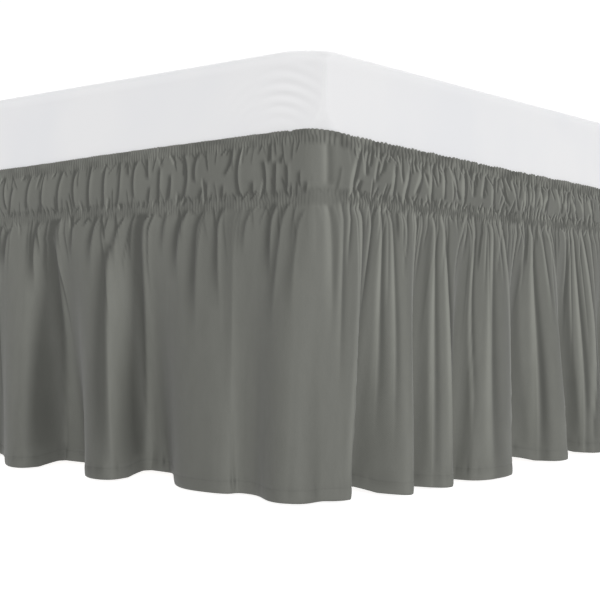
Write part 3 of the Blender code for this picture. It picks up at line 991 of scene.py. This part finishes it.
def fold_lines(turns, samples):
    """The folds at the band and at the hem, with so many samples from each turn to the next.

    Between one turn and the next the hem follows a Hermite curve whose ends lie along the
    wall. Its pull is the turn's breadth times the room it has, so a broad turn bulges over its
    own flanks as gathered cloth does.
    """
    at_band, at_hem, out, breadth = turns.T
    after_band = np.append(at_band[1:], at_band[0] + PERIMETER)
    after_hem = np.append(at_hem[1:], at_hem[0] + PERIMETER)
    step = after_hem - at_hem
    pull = breadth * (step + np.roll(step, 1)) / 2
    turn = np.repeat(np.arange(len(turns)), samples)
    first = np.repeat(np.cumsum(samples) - samples, samples)
    t = (np.arange(len(turn)) - first) / np.repeat(samples, samples)
    start, start_pull = 2 * t**3 - 3 * t**2 + 1, t**3 - 2 * t**2 + t
    end, end_pull = 3 * t**2 - 2 * t**3, t**3 - t**2
    hem = start * at_hem[turn] + start_pull * pull[turn]
    hem += end * after_hem[turn] + end_pull * np.roll(pull, -1)[turn]
    stands = start * out[turn] + end * np.roll(out, -1)[turn]
    return at_band[turn] + t * (after_band - at_band)[turn], hem, stands


# Rows of the drop in mm below the join.
ROWS = [-7, -4, 0, 5, 11, 18, 26, 35, 45, 57, 71, 88, 108, 131, 157, 185, 214, 243, 268, 285]
DROP_DEPTHS = np.array(ROWS) / 1000
HEM_STITCH = 0.014
# Rows of the hem, as heights over its lowest line and pushes out: the stitched row, the turned
# edge, and the turned part going back up inside.
HEM_ROWS = (
    # height, out
    (0.0185, 0.0),
    (0.0152, 0.0002),
    (HEM_STITCH, -0.0003),
    (0.0128, 0.0002),
    (0.0080, 0.0005),
    (0.0030, 0.0004),
    (0.0006, 0.0001),
    (0.0000, -0.0006),
    (0.0012, -0.0013),
    (0.0120, -0.0014),
)
PUCKERS = (
    # at_band, strength
    (-0.545, 0.9),
    (-0.468, 1.3),
    (-0.415, 0.6),
    (-0.290, 1.3),
    (-0.130, 0.7),
    (0.070, 0.4),
    (0.285, 1.2),
    (0.330, 1.0),
)


def hem_puckers(along, height):
    """Small puckers that the hem's stitching pulls, strongest on the stitched row."""
    strength = 0.25 + 0.2 * uneven(along, 0.05, SEED + 60)
    for place, extra in PUCKERS:
        strength += extra * bell(nearest(along - place), 0.012)
    wave = uneven(along, 0.0045, SEED + 61)
    near = bell(height - 0.013, 0.007)
    return 0.0006 * near * (strength * wave)[None, :]


def drop_points():
    """The drop's points, its columns' places at the band, and its tone of painted light.

    Each row is a blend of the band's line and the hem's folds. The share of the fold, from 0 at
    the band to 1 at the hem, is grown = share * (1 + SWELL * (1 - share)) * 1.05 * share /
    (share + 0.05), so the cloth swells out of its gathers. Small folds, a slow unevenness and
    the hem's puckers move it along its own normal, or straight out where it is held. Between
    KEPT_OUT's heights the most that it may go in lessens from 40 mm to 0.5 mm. The tone is mostly
    painted light: painted shade on the long sides more than the ends, at the foot's right corner,
    in the hollows and where a pucker goes in; towards the hem the sides grow paler and the ends
    darker; the folds add painted highlight and shade. It also varies at random and is darker
    along the stitches.
    """
    turns = drop_turns()
    samples = np.full(len(turns), SAMPLES)
    samples[: len(TURNS_NEAR_CORNER)] = SAMPLES_NEAR
    band, hem, stands = fold_lines(turns, samples)
    lowest = HEM_HEIGHT + HEM_LIFT * np.clip(-stands / 0.03, 0, 1)
    lowest += 0.0012 * uneven(band, 0.11, SEED + 62)
    lowest = np.maximum(lowest, LEAST_HEM)[None, :]
    top = row_height(band, np.array([JOIN]))
    above_edge, pushed = np.transpose(HEM_ROWS)
    height = np.vstack([top - DROP_DEPTHS[:, None], lowest + above_edge[:, None]])
    upper_rows = np.zeros(len(DROP_DEPTHS))
    push = np.append(upper_rows, pushed)[:, None]
    share = np.clip((top + OVERLAP - height) / (top + OVERLAP - lowest), 0, 1)
    grown = share * (1 + SWELL * (1 - share)) * 1.05 * share / (share + 0.05)
    out = DROP_OFF + grown * (stands - DROP_OFF)
    # Painted shade deep in the hollows of the folds.
    hollow_painted_shade = 0.08 * smooth(0.0, 0.04, -out)
    relief = np.zeros_like(out)
    # Painted shade: the long sides darker than the ends, and the foot's right corner darker still.
    nap_and_painted_light = by_wall(band, 0.43, 0.475) - 0.05 * bell(band + 0.005, 0.04)
    nap_and_painted_light += 0.05 * uneven(band, 0.03, SEED + 33)
    # Painted light towards the hem: paler on the long sides, darker at the ends; painted shade in the
    # hollows.
    nap_and_painted_light = nap_and_painted_light + by_wall(band, 0.03, -0.07) * share - hollow_painted_shade
    stitches = np.where(above_edge == HEM_STITCH, -0.035, 0.0)
    nap_and_painted_light += np.append(upper_rows, stitches)[:, None]
    below_top = np.append(DROP_DEPTHS + JOIN, np.full(len(HEM_ROWS), HEM_DEPTH))
    add_folds(relief, nap_and_painted_light, band, below_top, drop_folds)
    start = heading_out(band, np.array([DROP_STARTS]))[0][0] - DROP_OFF - relief[0]
    relief += start * (1 - smooth(0.0, 0.014, top + OVERLAP - height))
    slow = 0.0016 * uneven(band, 0.045, SEED + 63) + 0.0008 * uneven(band, 0.018, SEED + 64)
    puckers = hem_puckers(band, height - lowest)
    # Painted shade where a pucker goes in.
    nap_and_painted_light += 700 * np.minimum(puckers, 0)
    relief += slow * np.sin(np.pi * share) ** 0.5 + puckers + push
    held = smooth(*HELD, height)
    out = np.maximum(out + held * relief, -0.04 + 0.0395 * smooth(*KEPT_OUT, height))
    relief *= 1 - held
    x, y = wall_point(band + grown * (hem - band), out)
    ahead_x, ahead_y = np.roll(x, -1, 1) - np.roll(x, 1, 1), np.roll(y, -1, 1) - np.roll(y, 1, 1)
    length = np.hypot(ahead_x, ahead_y)
    x += relief * ahead_y / length
    y -= relief * ahead_x / length
    return np.stack([x, y, height], -1), band, np.clip(nap_and_painted_light, DARKEST, 1)


points, band, nap_and_painted_light = drop_points()
cloth = band, np.append(DROP_DEPTHS, HEM_ON_MAP - np.transpose(HEM_ROWS)[0])
drop = mesh_piece("drop_cloth", points, skirt_cloth, cloth=cloth, nap_and_painted_light=nap_and_painted_light)
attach(drop, "root")
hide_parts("drop")

# ---------------------------------------------------------------- floor, light and camera
# A plain white studio sweep with two broad soft lamps, seen from just outside the foot's right
# corner at the height of a low tripod.

white, tree, shader = shader_nodes("studio_floor")
feed(shader, {"Base Color": (0.93, 0.93, 0.93, 1.0), "Roughness": 0.9})
feed(shader, {"Emission Color": (1.0, 1.0, 1.0, 1.0), "Emission Strength": 0.88})
floor_mesh = bpy.data.meshes.new("floor")
floor_mesh.from_pydata([(-30, -30, 0), (30, -30, 0), (30, 30, 0), (-30, 30, 0)], [], [(0, 1, 2, 3)])
floor_mesh.materials.append(white)
floor = placed("floor", floor_mesh)
floor.visible_diffuse = False


def soft_sun(name, towards, height, softness, power):
    """A broad even lamp, this many degrees up, that shines towards so many degrees left of +Y."""
    data = bpy.data.lights.new(name, "SUN")
    data.angle = math.radians(softness)
    data.energy = power
    placed(name, data).rotation_euler = (math.radians(90 - height), 0, math.radians(towards))


soft_sun("key", towards=48, height=14, softness=18, power=2.27)
soft_sun("back", towards=218, height=40, softness=30, power=1.6)

world = bpy.data.worlds.new("studio")
world.use_nodes = True
seen = add_node(world.node_tree, "ShaderNodeLightPath").outputs["Is Camera Ray"]
strength = {"Value": seen, "To Min": 0.40, "To Max": 1.05}
strength = add_node(world.node_tree, "ShaderNodeMapRange", strength).outputs["Result"]
backdrop = world.node_tree.nodes["Background"]
feed(backdrop, {"Color": (1.0, 1.0, 1.0, 1.0), "Strength": strength})
bpy.context.scene.world = world
bpy.context.scene.view_settings.view_transform = "Standard"

camera_data = bpy.data.cameras.new("camera")
camera_data.lens = 72.9
camera_data.sensor_width = 36.0
camera_data.shift_y = 5 / 600
camera = placed("camera", camera_data)
camera.location = (BED_WIDTH / 2 + 0.815, -BED_LENGTH / 2 - 1.050, 0.222)
camera.rotation_euler = (math.radians(90), 0, math.radians(39))
bpy.context.scene.camera = camera
